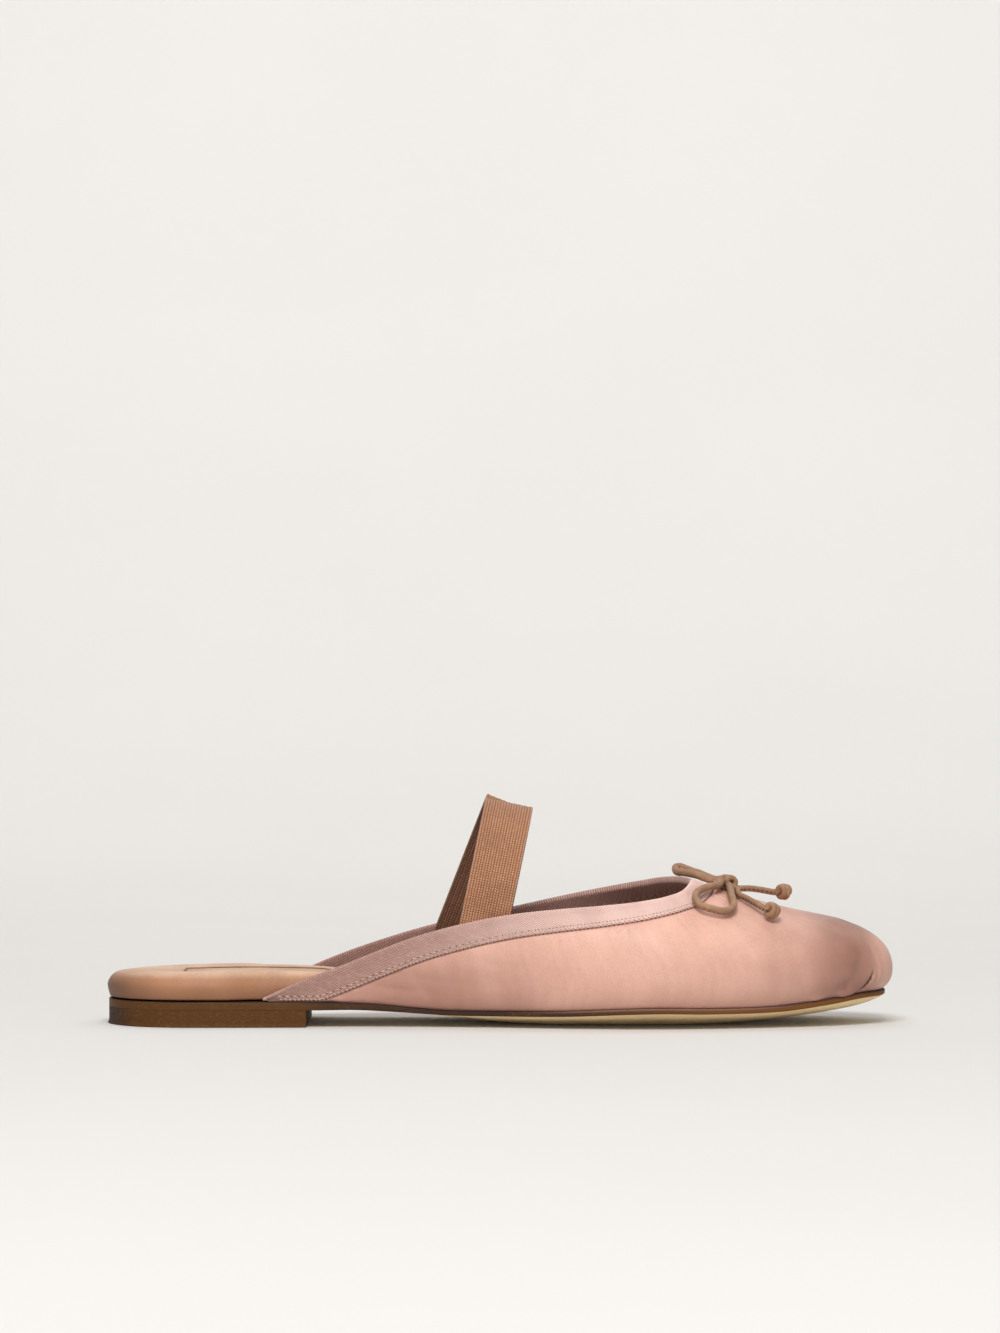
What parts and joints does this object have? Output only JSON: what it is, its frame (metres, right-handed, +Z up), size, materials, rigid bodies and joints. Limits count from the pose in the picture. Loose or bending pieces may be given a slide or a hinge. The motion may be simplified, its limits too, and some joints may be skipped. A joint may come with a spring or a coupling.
{
  "type": "ballet mule",
  "caption": "Backless satin ballet slipper for the right foot: ribbon-bound top line, low flat heel, padded leather insole, elastic instep strap and a small leather-cord bow.",
  "frame": {"origin": "middle of the shoe's length and width, on the floor plane that the heel lift and the forefoot stand on", "axes": "+X runs from heel to toe, +Y towards the inner (medial) side, +Z up from the floor"},
  "size_m": [0.2498, 0.0812, 0.072],
  "materials": {
    "sole_leather": "natural smooth leather, dyed brown along the edge",
    "leatherboard": "pressed leatherboard, matt",
    "insole_leather": "fine-grained, semi-matt",
    "satin": "satin weave with a soft sheen",
    "grosgrain": "ribbed ribbon, matt",
    "woven_elastic": "ribbed woven elastic, matt",
    "cord_leather": "stitched leather cord, semi-matt"
  },
  "bodies": {
    "root": {"outsole": "sole_leather", "heel": "leatherboard", "insole": "insole_leather", "upper": "satin", "collar_binding": "grosgrain", "elastic_strap": "woven_elastic", "bow_knot": "cord_leather", "bow_loop_near": "cord_leather", "bow_loop_far": "cord_leather", "bow_end_near": "cord_leather", "bow_end_far": "cord_leather", "end_knot_near": "cord_leather", "end_knot_far": "cord_leather"}
  },
  "joints": []
}
